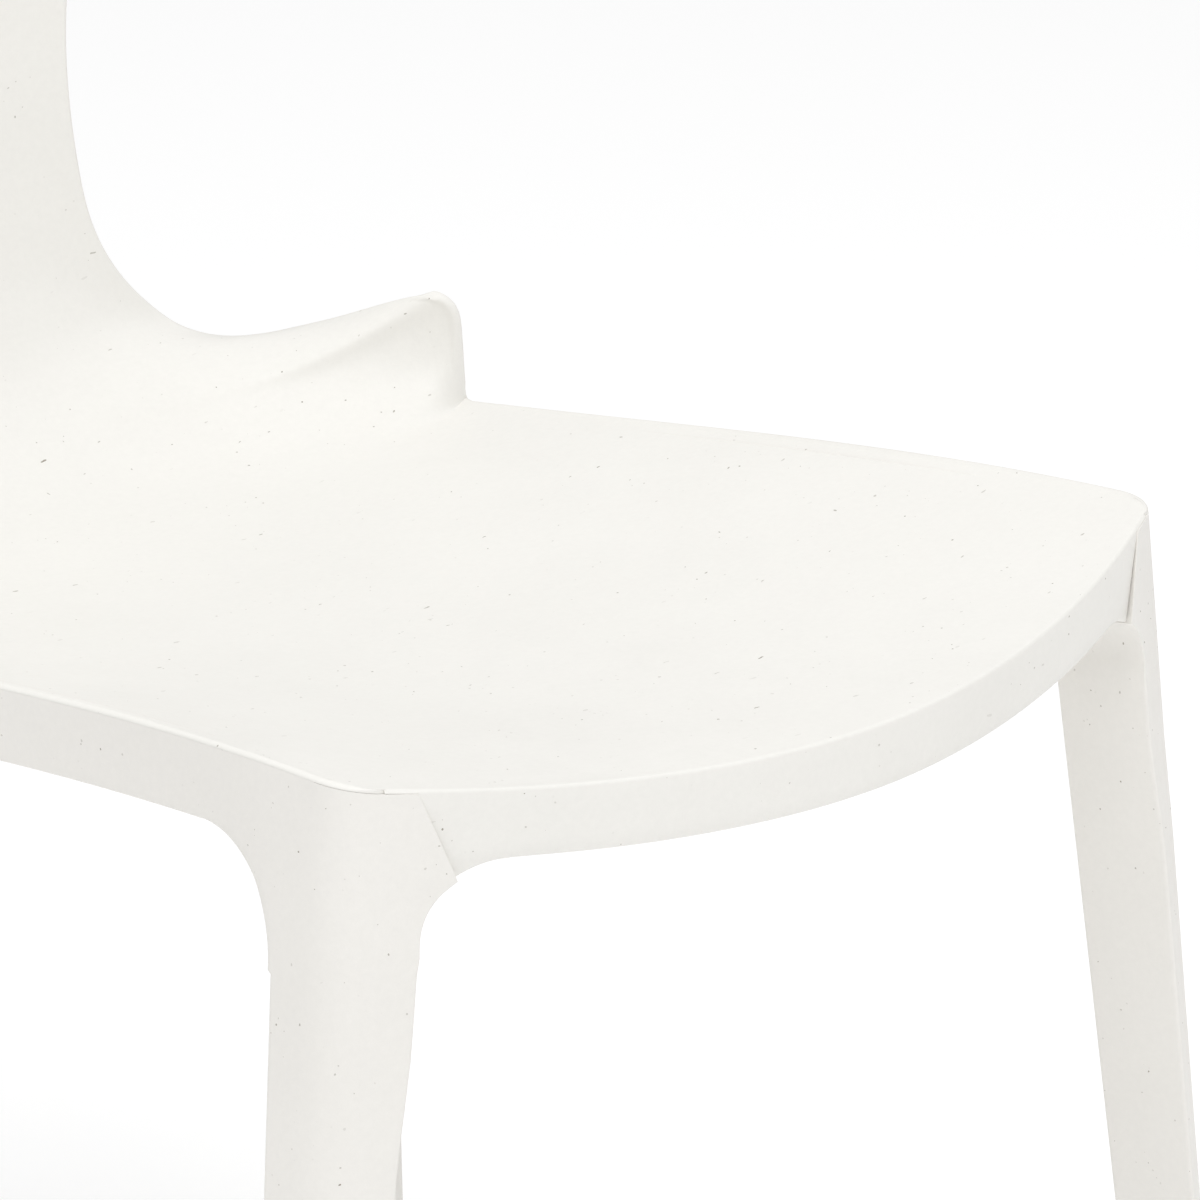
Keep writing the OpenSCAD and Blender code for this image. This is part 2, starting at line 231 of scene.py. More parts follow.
def build_shell():
    ys = list(np.linspace(0, CORNER_R, 11)) + list(np.linspace(CORNER_R, WING_Y, 75)[1:-1])
    rows = [seat_row(y) for y in ys]
    n_seat = len(rows)
    n_key = len(KEYS) - 1
    s = np.concatenate([np.linspace(0, 6, 73), np.linspace(6, 14, 73)[1:],
                        np.linspace(14, n_key - 0.18, 100)[1:]])
    rows += [list(r) for r in spline(KEYS, s)]
    rows = np.array(rows)
    n_row = len(rows)

    # fractions of a row's length, closer together near the edge
    f = np.linspace(0, 1, NQ)
    f = 1 - (1 - f) ** 1.35
    q_fine = np.sin(np.linspace(0, math.pi / 2, 1500))
    c0 = row_curve(rows[0], q_fine)
    l0 = np.concatenate([[0], np.cumsum(np.linalg.norm(np.diff(c0, axis=0), axis=1))])
    f_seam = np.interp(SEAM_TOP, c0[:, 0], l0) / l0[-1]
    k = int(np.argmin(abs(f - f_seam)))
    f[k] = f_seam
    f = np.insert(f, k + 1, f_seam + 0.0003)
    j_seam = k
    nq = len(f)

    # edge inset and thickness by row
    is_up = np.arange(n_row) >= n_seat
    up = np.zeros(n_row)
    up[n_seat:] = smooth(s / 0.5)
    t_in = SKIN - 0.7 * up
    t_edge = LIP * (1 - up) + (SKIN - 0.7) * up
    r_edge = 2.4 * (1 - up) + 1.9 * up

    # the last column stands one edge radius in from the rim, square to it
    half = np.zeros((n_row, nq, 3))
    rim = np.array([row_curve(r, np.array([1.0]))[0] for r in rows])
    near = np.array([row_curve(r, np.array([0.985]))[0] for r in rows])
    inset = r_edge.copy()
    inset[:7] *= smooth(np.arange(7) / 6.5)
    r_edge[:7] = np.maximum(inset[:7], 0.1)
    inset[n_seat:] *= 1 - smooth((s - (n_key - 2.4)) / 2.0)
    for i in range(n_row - 46, n_row):
        w = float(smooth((i - n_row + 46) / 20))
        low_pt = row_curve(rows[i - 12], np.array([0.93]))[0]
        near[i] = near[i] * (1 - w) + low_pt * w
    along = unit(np.gradient(rim, axis=0))
    inward = near - rim
    inward -= along * np.sum(inward * along, axis=1, keepdims=True)
    for _ in range(4):
        inward[1:-1] = (inward[:-2] + 2 * inward[1:-1] + inward[2:]) / 4
    edge_out = -unit(inward)
    edge_out[:n_seat - 4] = unit(edge_out[:n_seat - 4] * [1, 1, 0.2])
    for i, r in enumerate(rows):
        c = row_curve(r, q_fine)
        l = np.concatenate([[0], np.cumsum(np.linalg.norm(np.diff(c, axis=0), axis=1))])
        slant = abs(float(np.dot(unit(rim[i] - near[i]), edge_out[i]))) if is_up[i] else 1.0
        at = f * (l[-1] - inset[i] / max(0.45, slant))
        for a in range(3):
            half[i, :, a] = np.interp(at, l, c[:, a])
        half[i, -1] = rim[i] - edge_out[i] * inset[i]
    # the first rows stay behind the rounded front edge all the way out
    for i in range(1, 5):
        y_front = np.interp(half[i, :, 0], half[0, :, 0], half[0, :, 1])
        half[i, :, 1] = np.maximum(half[i, :, 1], y_front + 0.6 + 0.55 * i)
    left = half[:, :0:-1] * [-1, 1, 1]
    top = np.concatenate([left, half], axis=1)
    n_col = top.shape[1]
    mid = nq - 1

    # normals
    du = np.gradient(top, axis=0)
    dv = np.gradient(top, axis=1)
    nrm = unit(np.cross(dv, du))
    for _ in range(3):
        nrm[n_seat:-1] = unit(nrm[n_seat - 1:-2] + 2 * nrm[n_seat:-1] + nrm[n_seat + 1:])
    side = np.abs(np.arange(n_col) - mid)

    # thickness over the whole sheet
    thick = np.repeat(t_in[:, None], n_col, 1)
    for i in range(n_row):
        y = rows[i][1]
        if y < WING_Y - 0.5 and not is_up[i]:
            w = 24 if y < 40 else 24 - 13 * smooth((y - 40) / 26)
            d = rows[i][0] - np.abs(top[i, :, 0])
            thick[i] = LIP + (SKIN - LIP) * smooth((d - w) / 3)
    thick[:, 0] = thick[:, -1] = t_edge
    thick[:, 1] = np.minimum(thick[:, 1], np.maximum(thick[:, 0], thick[:, 2]))
    thick[:, -2] = np.minimum(thick[:, -2], np.maximum(thick[:, -1], thick[:, -3]))

    down = np.array([0, 0, 1.0])
    blend = np.zeros(n_row)
    blend[n_seat:] = smooth(s / 1.2)
    direc = unit(down * (1 - blend[:, None, None]) + nrm * blend[:, None, None])
    under = top - thick[..., None] * direc

    # the foot of each wing keeps its full width at the front
    for i in range(n_seat, n_row):
        si = s[i - n_seat]
        w = float(smooth(si / 0.5) * (1 - smooth((si - 1.5) / 1.4)))
        if w <= 0:
            continue
        for k in range(9):
            wt = w * float(smooth(1 - k / 9))
            for j, sg in ((n_col - 1 - k, 1), (k, -1)):
                goal = top[i, j] + np.array([(171.2 - rim[i, 0]) * sg, 0.8, 0])
                under[i, j] = under[i, j] * (1 - wt) + goal * wt

    # each row becomes a closed ring: top, right edge, underside, left edge
    arc = np.radians(np.linspace(90, -90, 9)[1:-1])

    def edge_arc(i, p, q, out, end=1.0):
        """Rounded edge from the top point p to the under point q."""
        pts = []
        n_vec = (p - q) / 2
        u = up[i]
        for a in arc:
            full = (p + q) / 2 + n_vec * math.sin(a) + out * r_edge[i] * math.cos(a) * end
            g = (math.pi / 2 - a) / math.pi
            b = math.radians(90 - 90 * min(1, g * 1.25))
            quarter = q + (p - q) * math.sin(b) + out * r_edge[i] * math.cos(b) * end
            pts.append(quarter * (1 - u) + full * u)
        return pts

    rings = []

    # front apron, drawn as rings below the seat's front edge
    apron = np.where(side <= j_seam, 1.0, 0.0)
    x0 = np.abs(top[0, :, 0])
    shift = (SEAM_TOP - SEAM_LOW) * smooth((x0 - 118) / (SEAM_TOP - 118)) * apron
    xl = x0 - shift
    zl = np.interp(xl, half[0, :, 0], half[0, :, 2])
    straight = -zl + APRON_H + 0.5 * smooth((xl - 60) / 78)
    bow = 53 - 24.5 * np.sqrt(np.maximum(0, 1 - (np.maximum(0, xl - 138) / 30.8) ** 2))
    low = 0.6 * np.log(np.exp((straight - 30) / 0.6) + np.exp((bow - 30) / 0.6)) + 30
    low = np.where(xl > 110, low, straight)
    drop = np.where(apron > 0, np.maximum(low + top[0, :, 2], LIP + 0.1), LIP)
    sgn = np.sign(top[0, :, 0])

    def front_ring(back_o, down_o, back_i, down_i):
        """A ring of the apron: outer line and inner line, as offsets from the front edge."""
        def line(back, dn):
            p = top[0].copy()
            fr = np.clip(dn / np.maximum(low + top[0, :, 2], 1), 0, 1.0)
            xs = np.abs(p[:, 0]) - shift * fr
            # stay on the front curve when the column leans inwards
            p[:, 1] += (-45 * (1 - (xs / HALF_W) ** 1.884)) - (-45 * (1 - (x0 / HALF_W) ** 1.884))
            p[:, 0] = sgn * xs
            nx = sgn * 45 * 1.884 / HALF_W * (xs / HALF_W) ** 0.884
            nn = unit(np.stack([nx * 0.5, -np.ones_like(nx), np.zeros_like(nx)], -1))
            p -= nn * back[:, None]
            p[:, 2] -= dn
            return p
        o = line(back_o, down_o)
        n = line(back_i, down_i)
        rt, lt = [], []
        for g in np.linspace(0, 1, 9)[1:-1]:
            for k, pts in ((-1, rt), (0, lt)):
                e = o[k] * (1 - max(0, g - 0.7) / 0.3) + n[k] * max(0, g - 0.7) / 0.3
                e[2] = top[0, k, 2] - max(LIP * min(1, g / 0.7), down_o[k])
                pts.append(e)
        return np.concatenate([o, rt, n[::-1], lt[::-1]])

    one = np.ones(n_col)
    zero = np.zeros(n_col)
    deep = 0.4 + 3.4 * apron
    th0 = thick[0]
    # bottom edge, rounded, then up both faces
    r = 0.7
    for b, d in ((r, 0.0), (0.35 * r, 0.35 * r), (0.0, r)):
        rings.append(front_ring(b * apron, drop - d * apron,
                                deep - b * apron, np.maximum(drop - d * apron, th0)))
    for g in (0.75, 0.5, 0.25, 0.0):
        dn = np.where(apron > 0, 1.3 + (drop - r - 1.3) * g, 0.86 + 0.4 * g)
        rings.append(front_ring(zero, dn, deep,
                                np.maximum(dn, th0) if g else th0))
    for b, d in ((0.1, 0.82), (0.38, 0.38), (0.82, 0.1)):
        rings.append(front_ring(b * one, d * one, deep + 0.2 + b * apron, th0))
    n_front = len(rings)

    first = 1
    while rows[first][1] < rows[0][1] + 1.0:
        first += 1
    for i in range(first, n_row):
        tp, un = top[i], under[i]
        if not is_up[i] and rows[i][3] < -45 + 14:
            # keep the underside behind the apron's inner face
            un = un.copy()
            lim = top[0, :, 1] + 4.9 + 0.05 * i
            back = np.maximum(un[:, 1], np.minimum(lim, un[:, 1] + 5))
            un[:, 1] = np.where(apron > 0, back, un[:, 1])
        rt = edge_arc(i, tp[-1], un[-1], edge_out[i])
        lt = edge_arc(i, tp[0], un[0], edge_out[i] * [-1, 1, 1])[::-1]
        rings.append(np.concatenate([tp, rt, un[::-1], lt]))

    # rounded top of the back
    last_top, last_un = top[-1], under[-1]
    dirs = unit(top[-1] - top[-3])
    for a in np.radians([25, 50, 70, 90]):
        c, sn = math.cos(a), math.sin(a)
        m = (last_top + last_un) / 2
        h = (last_top - last_un) / 2
        tp = m + h * c + dirs * 1.9 * sn
        un = m - h * c + dirs * 1.9 * sn
        rt = edge_arc(n_row - 1, tp[-1], un[-1], edge_out[-1], c)
        lt = edge_arc(n_row - 1, tp[0], un[0], edge_out[-1] * [-1, 1, 1], c)[::-1]
        rings.append(np.concatenate([tp, rt, un[::-1], lt]))
    verts, faces = ring_tube(rings, cap0=False, cap1=False)
    n = len(rings[0])
    # close the apron's lower edge with a strip of quads
    for j in range(n_col - 1):
        faces.append((j, j + 1, n_col + 7 + n_col - 2 - j, n_col + 7 + n_col - 1 - j))
    return verts, faces


# ---------------------------------------------------------------- under the seat
ARM_T, ARM_GAP, ARM_DROP, ARM_REACH = 14.0, 6.0, 17.0, 34.0
FRONT_ARM_Y, REAR_ARM_Y = 26.0, 304.0
FRONT_ARM_Z, REAR_ARM_Z = -25 - SKIN, -38 - SKIN
ARMS_W = 2 * ARM_T + ARM_GAP


def rounded(corners, cuts, n=3):
    """Closed ring through a section's corners, each rounded by a quadratic curve."""
    pts = []
    m = len(corners)
    for k in range(m):
        p = np.array(corners[k], float)
        a = np.array(corners[k - 1], float)
        b = np.array(corners[(k + 1) % m], float)
        c = cuts[k] if hasattr(cuts, "__len__") else cuts
        steps = n[k] if hasattr(n, "__len__") else n
        p0 = p + unit(a - p) * min(c, np.linalg.norm(a - p) * 0.47)
        p2 = p + unit(b - p) * min(c, np.linalg.norm(b - p) * 0.47)
        for i in range(steps + 1):
            u = i / steps
            pts.append((1 - u) ** 2 * p0 + 2 * u * (1 - u) * p + u * u * p2)
    return np.array(pts)


def closed_tube(rings):
    """Rings with their ends drawn in a little, so that the ends are rounded too."""
    def shrink(r, step, k):
        c = r.mean(0)
        return c + (r - c) * k + step
    d0 = unit(rings[0].mean(0) - rings[1].mean(0))
    d1 = unit(rings[-1].mean(0) - rings[-2].mean(0))
    out = [shrink(rings[0], d0 * 0.0, 0.90), shrink(rings[0], d0 * -0.2, 0.965)]
    first = rings[0] - d0 * 0.8
    last = rings[-1] - d1 * 0.8
    out += [first] + list(rings[1:-1]) + [last]
    out += [shrink(rings[-1], d1 * -0.2, 0.965), shrink(rings[-1], d1 * 0.0, 0.90)]
    return ring_tube(out)


def rib_cross(y, w, x1, z_low):
    """Rib across the underside, its top sunk into the skin, its foot thinner than its root."""
    rings = []
    for x in np.linspace(-x1, x1, 41):
        zt = min(seat_z(x, y), seat_z(x, y + w)) - 2.4
        rings.append(rounded([(x, y - 0.5, zt), (x, y + w + 0.5, zt),
                              (x, y + w - 0.2, z_low), (x, y + 0.2, z_low)], [0.2, 0.2, 0.9, 0.9]))
    return ring_tube(rings)


def rib_long(x, w, y0, y1, depth, fade=0.0):
    rings = []
    for y in np.linspace(y0, y1, 41):
        zs = min(seat_z(x - w / 2, y), seat_z(x + w / 2, y))
        zb = zs - SKIN - depth * (1 - fade * smooth(abs(2 * (y - y0) / (y1 - y0) - 1)))
        rings.append(rounded([(x - w / 2 - 0.4, y, zs - 2.4), (x + w / 2 + 0.4, y, zs - 2.4),
                              (x + w / 2 - 0.2, y, zb), (x - w / 2 + 0.2, y, zb)],
                             [0.2, 0.2, 0.9, 0.9]))
    return ring_tube(rings)


def unite(base, others):
    """Exact union, applied, so that the piece is one clean surface."""
    for o in others:
        m = base.modifiers.new("join", "BOOLEAN")
        m.operation = "UNION"
        m.solver = "EXACT"
        m.object = o
    bpy.context.view_layer.update()
    dep = bpy.context.evaluated_depsgraph_get()
    me = bpy.data.meshes.new_from_object(base.evaluated_get(dep))
    base.modifiers.clear()
    old = base.data
    base.data = me
    bpy.data.meshes.remove(old)
    for o in others:
        bpy.data.objects.remove(o)
    for p in me.polygons:
        p.use_smooth = True
    me.set_sharp_from_angle(angle=math.radians(40))
    return base


# ---------------------------------------------------------------- leg frames
GAP = 0.04
SEAM_GAP = 0.12
SPLAY = 0.117


def line_step(t):
    return min(1.0, max(0.0, t))


def seam_x(h):
    return SEAM_TOP - (SEAM_TOP - SEAM_LOW) * line_step((h - 3.9) / 28.1)


def front_leg(h):
    """Corners of the front leg h below the seat: front outer, front inner, rear inner, rear outer."""
    d = h - 50
    inner = 166.4 + 3 * float(smooth((h - 75) / 45))
    return [(190.8 + SPLAY * d, -1.4 - 0.0285 * d, -h),
            (inner + (SPLAY + 0.017) * d, -11.8 - 0.0285 * d, -h),
            (166.2 + (SPLAY + 0.017) * d, 26.7 - 0.055 * d, -h),
            (190.8 + SPLAY * d, 24.7 - 0.055 * d, -h)]


def side_x(y, h):
    """Outer face of the frame: the seat's edge at the top, the leg's plane lower down."""
    y = max(y, 0.0)
    w = 1 - 0.55 * float(smooth((y - 25) / 35)) - 0.25 * float(smooth((y - 60) / 120))
    k = float(smooth(h / 60)) * (1 - float(smooth((y - 25) / 45)))
    e = float(edge_x(y))
    return e + SPLAY * h * w + (HALF_W - e) * k


def front_y(x, h):
    xe = x - SPLAY * h
    return -45 * (1 - (xe / HALF_W) ** 1.884) - 0.0285 * h


def inner_front(h):
    """Inner edge of the leg's front face: the seam high up, then the fillet, then the leg."""
    leg = front_leg(h)[1]
    if h >= 53:
        return leg
    fil = 138 + 30.8 * math.sqrt(max(0, 1 - ((53 - h) / 24.5) ** 2)) if h > 28.6 else 0
    x = max(fil - 2 * float(smooth((h - 31) / 24)), seam_x(h) + SEAM_GAP)
    w = line_step((h - 33) / 20)
    return (x, front_y(x, h) * (1 - w) + leg[1] * w, -h)


def rear_leg(h):
    cx, cy = 158 + 0.125 * h, 352 + 0.09 * h
    w, d = 12 - 0.003 * h, 17 - 0.015 * h
    return [(cx + w, cy + d, -h), (cx - w, cy + d - 2, -h),
            (cx - w, cy - d + 2, -h), (cx + w, cy - d, -h)]


def under_z(x, y):
    return seat_z(x, y) - LIP - GAP


def corner_arc(p0, p, p2, n):
    return [(1 - u) ** 2 * np.array(p0, float) + 2 * u * (1 - u) * np.array(p, float)
            + u * u * np.array(p2, float) for u in np.linspace(0, 1, n + 1)]


def frame_ring(side, corner, front, oi, ii, io, cuts, curved=False):
    """Section from the outer side round the front corner, the inner side and the rear."""
    pts = []
    for t in (0.15, 0.3, 0.45, 0.6, 0.75, 0.9):
        p = np.array(io, float) * (1 - t) + np.array(side, float) * t
        if curved:
            p[0] = side_x(p[1], -p[2])
        pts.append(p)
    pts += corner_arc(side, corner, front, 10)
    rest = [np.array(p, float) for p in (front, oi, ii, io, pts[0])]
    for k in (1, 2, 3):
        p = rest[k]
        a, b = rest[k - 1] - p, rest[k + 1] - p
        c = cuts[k - 1]
        p0 = p + unit(a) * min(c, np.linalg.norm(a) * 0.47)
        p2 = p + unit(b) * min(c, np.linalg.norm(b) * 0.47)
        pts += corner_arc(p0, p, p2, 5)
    return np.array(pts)


def frame_rings():
    rings = []
    # front leg
    for h in np.linspace(FOOT_H, 60, 34):
        c = [np.array(p) for p in front_leg(h)]
        wide = 12 + 2 * float(smooth((h - 60) / 60))
        ds, df = (min(wide, 0.47 * np.linalg.norm(c[k] - c[0])) for k in (3, 1))
        rings.append(frame_ring(c[0] + unit(c[3] - c[0]) * ds, c[0],
                                c[0] + unit(c[1] - c[0]) * df, c[1], c[2], c[3], (2, 2.5, 6)))
    # front fillet: up the corner to the lip, then back along the top edge
    n = 64
    for i in range(1, n + 1):
        g = i / n
        a = math.pi / 2 * g
        yi, zi = 60 - 34.6 * math.cos(a), -60 + 34.6 * math.sin(a)
        xi = 167.5 + (edge_x(60) - 9.5 - 167.5) * g
        io = (side_x(yi, -zi), yi, zi)
        ii = (float(xi), yi, zi)
        if g <= 0.5:
            h = 60 + (LIP + GAP - 60) * (g / 0.5)
            k = i / 20
            hi = 60 - 27.7 * k if k <= 1 else 32.3 + (LIP + GAP + 3.6 - 32.3) * (i - 20) / 12
            oi = inner_front(hi)
            corner = (HALF_W + SPLAY * h, -0.0285 * h, -h)
            hf = h + 2.05 * g / 0.5
            front = np.array((173.5 + SPLAY * hf, front_y(173.5 + SPLAY * hf, hf), -hf))
            side = (side_x(13, h), 13 - 0.0285 * h, -h)
            cut = (0.6 + 1.4 * (1 - float(smooth((60 - h) / 12))), 2.5 + 2 * g, 6 - 2 * g)
        else:
            v = (g - 0.5) / 0.5
            y = 13 + 47 * v
            side = (side_x(y, 0), y, float(edge_z(y)) - LIP - GAP)
            xx = 164.6 + (float(edge_x(60)) - 9.5 - 164.6) * v
            yy = -8.4 + 68.4 * v
            oi = (xx, yy, under_z(xx, yy))
            front = np.array(side) * 0.6 + np.array(oi) * 0.4
            corner = np.array(side) * 0.8 + np.array(oi) * 0.2
            cut = (1, 3.5 - 0.5 * v, 5 - 2 * v)
        rings.append(frame_ring(side, corner, front, oi, ii, io, cut, True))
        if i == n // 2:
            # the same top edge again, with the corner's curve laid flat under the seat
            y = 13.3
            side = (side_x(y, 0), y, float(edge_z(y)) - LIP - GAP)
            front = np.array(side) * 0.6 + np.array(oi) * 0.4
            corner = np.array(side) * 0.8 + np.array(oi) * 0.2
            rings.append(frame_ring(side, corner, front, oi, ii, io, cut, True))
    # side rail
    for y in np.linspace(63, 284, 56):
        z = float(edge_z(y))
        x = float(edge_x(y))
        side = np.array((x, y, z - LIP - GAP))
        oi = np.array((x - 9.5, y, z - LIP - GAP - 0.8))
        w = float(smooth((y - 63) / 20))
        rings.append(frame_ring(side, side * 0.8 + oi * 0.2, side * 0.6 + oi * 0.4, oi,
                                (x - 9.5, y, z - RAIL_H), (side_x(y, RAIL_H), y, z - RAIL_H),
                                (1, 3.2 - 0.7 * w, 3.2 - 0.2 * w)))
    # rear fillet and rounded corner
    n = 48
    z0 = float(edge_z(290)) - RAIL_H

    def rear_x(y, z):
        k = float(smooth((y - 286) / 60))
        return (float(edge_x(min(y, 294))) + SPLAY * 0.2 * RAIL_H * line_step(-z / 60) * (1 - k)) \
            * (1 - k) + (170 + 0.122 * -z) * k

    for i in range(1, n + 1):
        g = i / n
        if g < 0.28:
            yi = 286 + 20 * g / 0.28
            zi = float(edge_z(min(yi, 294))) - RAIL_H - 0.2 * max(0, yi - 294) / 12
        else:
            a = math.pi / 2 * (g - 0.28) / 0.72
            yi, zi = 306 + 38.5 * math.sin(a), -88 + (88 + z0 - 0.4) * math.cos(a)
        if g < 0.42:
            v = g / 0.42
            oy, oz = 286 + 60 * v, float(edge_z(min(286 + 60 * v, 294))) - LIP - GAP - 0.6 * v
        elif g < 0.66:
            t = math.pi / 2 * (g - 0.42) / 0.24
            oy, oz = 346 + 26.5 * math.sin(t), -51 + (51 - 24.7) * math.cos(t)
        else:
            v = (g - 0.66) / 0.34
            oy, oz = 372.5 + 3.1 * v, -51 - 37 * v
        wd = 9.5 + 14.3 * float(smooth(g * 1.15))
        r = 0.3 + 9 * float(smooth((g - 0.12) / 0.6))
        o = np.array((rear_x(oy, oz), oy, oz))
        oi = np.array((rear_x(oy, oz) - wd, oy - 2 * g, oz - 0.8 * (1 - g)))
        io = np.array((rear_x(yi, zi), yi, zi))
        ii = np.array((rear_x(yi, zi) - wd, yi + 2 * g, zi))
        r = min(r, np.linalg.norm(io - o) * 0.4)
        e = float(smooth(g * 4))
        side = o + unit(io - o) * r * e
        front = o + unit(oi - o) * (r * e + 3.8 * (1 - e))
        corner = o * e + (o + unit(oi - o) * 1.9) * (1 - e)
        rings.append(frame_ring(side, corner, front, oi, ii, io,
                                (max(1, r * 0.6), 2.5 + 3 * g, 3 + 3 * g)))
    for h in np.linspace(92, FOOT_H, 32):
        c = [np.array(p) for p in rear_leg(h)]
        rings.append(frame_ring(c[0] + unit(c[3] - c[0]) * 9.3, c[0],
                                c[0] + unit(c[1] - c[0]) * 9.3, c[1], c[2], c[3], (5.5, 5.5, 6)))
    return rings


def arm_tube(points, y):
    """Tie arm as a loft of rounded sections along x, from (x, top, bottom) points."""
    pts = []
    for (x0, t0, b0), (x1, t1, b1) in zip(points, points[1:]):
        for k in range(6):
            u = k / 6
            pts.append((x0 + (x1 - x0) * u, t0 + (t1 - t0) * u, b0 + (b1 - b0) * u))
    pts.append(points[-1])
    rings = [rounded([(x, y, t), (x, y + ARM_T, t), (x, y + ARM_T, b), (x, y, b)], 1.6)
             for x, t, b in pts]
    return closed_tube(rings)


def build_frame(name, first, mirror):
    step = 0 if first else ARM_T + ARM_GAP
    fy, ry = FRONT_ARM_Y + step, REAR_ARM_Y + step
    main = frame_rings()
    ends = []
    for r, sign in ((main[0], -1), (main[-1], 1)):
        c = r.mean(0)
        ends.append([c + (r - c) * 0.93, c + (r - c) * 0.985 + [0, 0, 0.4]])
    body = ring_tube([ends[0][0], ends[0][1], main[0] + [0, 0, 1.3]] + main[1:-1]
                     + [main[-1] + [0, 0, 1.3], ends[1][1], ends[1][0]])
    front = [(-ARM_REACH, FRONT_ARM_Z, FRONT_ARM_Z - ARM_DROP), (45, FRONT_ARM_Z, FRONT_ARM_Z - ARM_DROP)]
    for x in (60, 85, 110, 120, 135, 150, 160, 171):
        t = min(seat_z(x, fy), seat_z(x, fy + ARM_T)) - SKIN - 1.2
        low = FRONT_ARM_Z - ARM_DROP
        b = low if x <= 120 else low + (-25 - low) * (x - 120) / 51
        front.append((x, t, b))
    rear = [(-ARM_REACH, REAR_ARM_Z, REAR_ARM_Z - ARM_DROP), (100, REAR_ARM_Z, REAR_ARM_Z - ARM_DROP),
            (120, REAR_ARM_Z + 1.5, REAR_ARM_Z - ARM_DROP), (155, -38, -48)]
    parts = [body, arm_tube(front, fy), arm_tube(rear, ry)]
    obs = []
    for k, (v, f) in enumerate(parts):
        v = v.copy()
        if mirror:
            v[:, 0] *= -1
            f = [g[::-1] for g in f]
        obs.append(make_mesh(name if k == 0 else f"{name}_{k}", v, f, 40))
    return unite(obs[0], obs[1:])


shell_v, shell_f = build_shell()
shell = make_mesh("seat_and_back", shell_v, shell_f, 40)
ribs = [rib_cross(FRONT_ARM_Y - 0.3 - 3.2, 3.2, 120, FRONT_ARM_Z - ARM_DROP + 3),
        rib_cross(FRONT_ARM_Y + ARMS_W + 0.3, 3.2, 120, FRONT_ARM_Z - ARM_DROP + 3),
        rib_cross(REAR_ARM_Y - 0.3 - 3.2, 3.2, 96, REAR_ARM_Z - ARM_DROP + 5)]
ribs += [rib_long(x, 3, FRONT_ARM_Y + ARMS_W + 2, REAR_ARM_Y - 2, 9) for x in (-62, 62)]
shell = unite(shell, [make_mesh(f"rib_{i}", v, f, 40) for i, (v, f) in enumerate(ribs)])
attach(shell, "root")
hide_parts("seat_shell")

right = build_frame("right_frame", True, False)
left = build_frame("left_frame", False, True)
for ob, node in ((right, "right_leg_frame"), (left, "left_leg_frame")):
    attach(ob, "root")
    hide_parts(node)

# ---------------------------------------------------------------- wedges and glides
def build_wedge(name, y, z):
    """Blade between the two arms of a joint, with a flange under them."""
    y0 = y + ARM_T + 0.05
    rings = []
    for u in (-1.0, -0.985, -0.95, -0.5, 0.0, 0.5, 0.95, 0.985, 1.0):
        k = 0.4 if abs(u) == 1 else 0.12 if abs(u) > 0.98 else 0.0
        lo, hi = 26 * u, 22 * u
        rings.append(rounded([(hi, y0 + k, z + 16 - k), (hi, y0 + ARM_GAP - 0.1 - k, z + 16 - k),
                              (lo, y0 + ARM_GAP - 0.1 - k, z - 1), (lo, y0 + k, z - 1)],
                             (1.4, 1.4, 0.2, 0.2)))
    blade = ring_tube(rings)
    rings = []
    for x, k in ((-30, 0.8), (-29.8, 0.3), (-29.2, 0), (-15, 0), (0, 0), (15, 0),
                 (29.2, 0), (29.8, 0.3), (30, 0.8)):
        rings.append(rounded([(x, y + 8 + k, z - 0.1), (x, y + 26 - k, z - 0.1),
                              (x, y + 26 - k, z - 3.1 + k), (x, y + 8 + k, z - 3.1 + k)],
                             (0.3, 0.3, 1.0, 1.0)))
    flange = ring_tube(rings)
    obs = [make_mesh(f"{name}_{i}", v, f, 40) for i, (v, f) in enumerate((blade, flange))]
    obs[0].name = name
    return unite(obs[0], obs[1:])


def turned(prof, x, y, z, n=48):
    """Rings of a profile of (radius, height) turned about an upright axis."""
    rings = []
    for pr, pz in prof:
        a = np.linspace(0, 2 * math.pi, n, endpoint=False)
        q = max(pr, 0.02)
        rings.append(np.stack([x + q * np.cos(a), y + q * np.sin(a), np.full(n, z + pz)], -1))
    return ring_tube(rings)


def build_glide(name, x, y):
    """Floor glide: a domed pad with a stem that goes up the leg."""
    return make_mesh(name, *turned([
        (0.0, 0.0), (5.2, 0.0), (6.2, 0.2), (6.9, 0.7), (7.4, 1.6), (7.6, 2.8), (7.6, 4.2),
        (7.45, 4.7), (7.1, PAD_T), (3.95, PAD_T), (3.95, 10.0), (3.95, 18.4), (3.6, 19.2),
        (2.9, 19.5), (0.0, 19.5)], x, y, -SEAT_H), 40)


front_foot = np.mean(front_leg(FOOT_H), axis=0)
rear_foot = np.mean(rear_leg(FOOT_H), axis=0)
for name, x, y, node in (
        ("glide_fr", front_foot[0], front_foot[1], "front_right_glide"),
        ("glide_fl", -front_foot[0], front_foot[1], "front_left_glide"),
        ("glide_rr", rear_foot[0], rear_foot[1], "rear_right_glide"),
        ("glide_rl", -rear_foot[0], rear_foot[1], "rear_left_glide")):
    ob = build_glide(name, x, y)
    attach(ob, "root")
    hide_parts(node)
    bore = make_mesh("bore", *turned([(4.0, -1.0), (4.0, 15.0), (3.6, 15.6), (0, 15.6)],
                                     x, y, PAD_T - SEAT_H), 40)
    leg = right if x > 0 else left
    m = leg.modifiers.new("bore", "BOOLEAN")
    m.operation = "DIFFERENCE"
    m.solver = "EXACT"
    m.object = bore
    unite(leg, [])
    bpy.data.objects.remove(bore)

